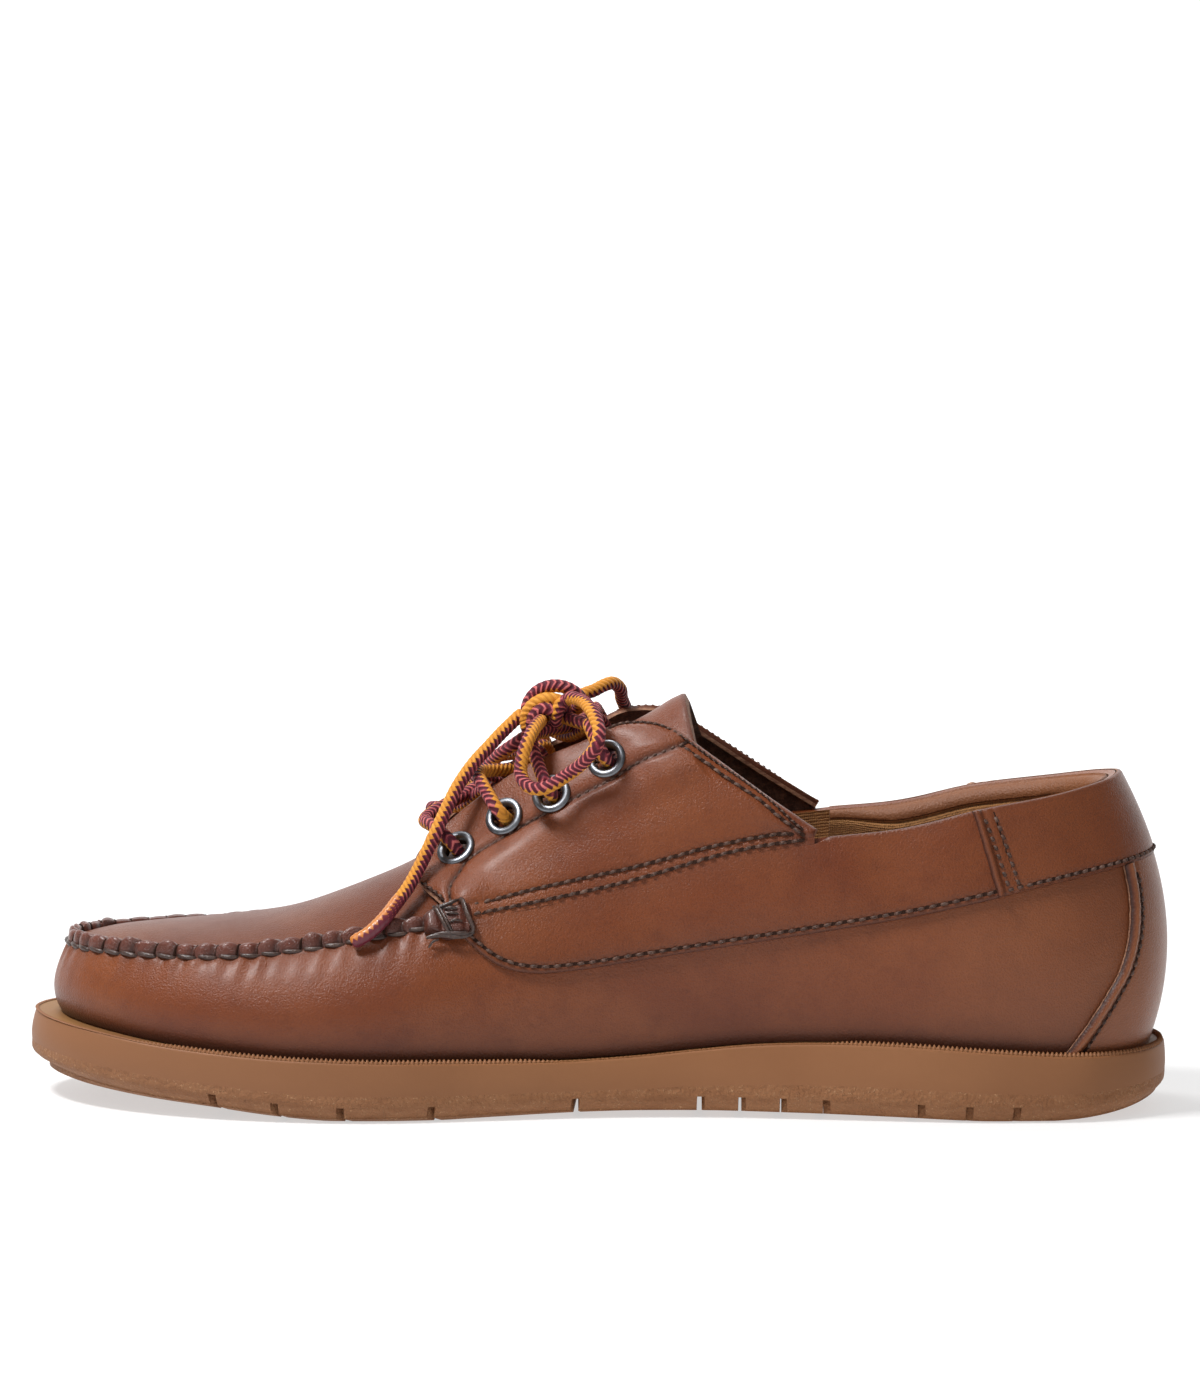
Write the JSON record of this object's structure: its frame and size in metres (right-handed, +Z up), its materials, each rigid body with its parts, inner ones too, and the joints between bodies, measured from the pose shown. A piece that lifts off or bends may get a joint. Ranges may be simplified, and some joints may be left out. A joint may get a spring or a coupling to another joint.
{
  "type": "blucher moccasin",
  "caption": "Low laced leather moccasin with a raised toe seam, open-laced facings, a padded collar and a grooved gum rubber sole.",
  "frame": {"origin": "on the floor under the middle of the sole, lace loops and ends left out", "axes": "+X from heel to toe, +Y to the medial (inner) side of a right foot, +Z up"},
  "size_m": [0.3017, 0.1039, 0.1113],
  "materials": {
    "leather": "smooth polished brown leather",
    "padding": "soft brown collar leather over padding",
    "insole": "tan sock, matt",
    "rubber": "gum rubber, satin",
    "metal": "dark polished eyelets",
    "lace": "round braided lace"
  },
  "bodies": {
    "root": {"outsole": "rubber", "insole": "insole", "upper": "leather", "quarter_band_medial": "leather", "quarter_band_lateral": "leather", "heel_collar": "leather", "heel_counter": "leather", "facing_medial": "leather", "facing_lateral": "leather", "tongue": "leather", "collar_padding": "padding", "lace_crossings": "lace", "lace_knot": "lace", "lace_loop_medial": "lace", "lace_loop_lateral": "lace", "lace_end_medial": "lace", "lace_end_lateral": "lace", "eyelet_medial_1": "metal", "eyelet_medial_2": "metal", "eyelet_medial_3": "metal", "eyelet_medial_4": "metal", "eyelet_lateral_1": "metal", "eyelet_lateral_2": "metal", "eyelet_lateral_3": "metal", "eyelet_lateral_4": "metal"}
  },
  "joints": []
}
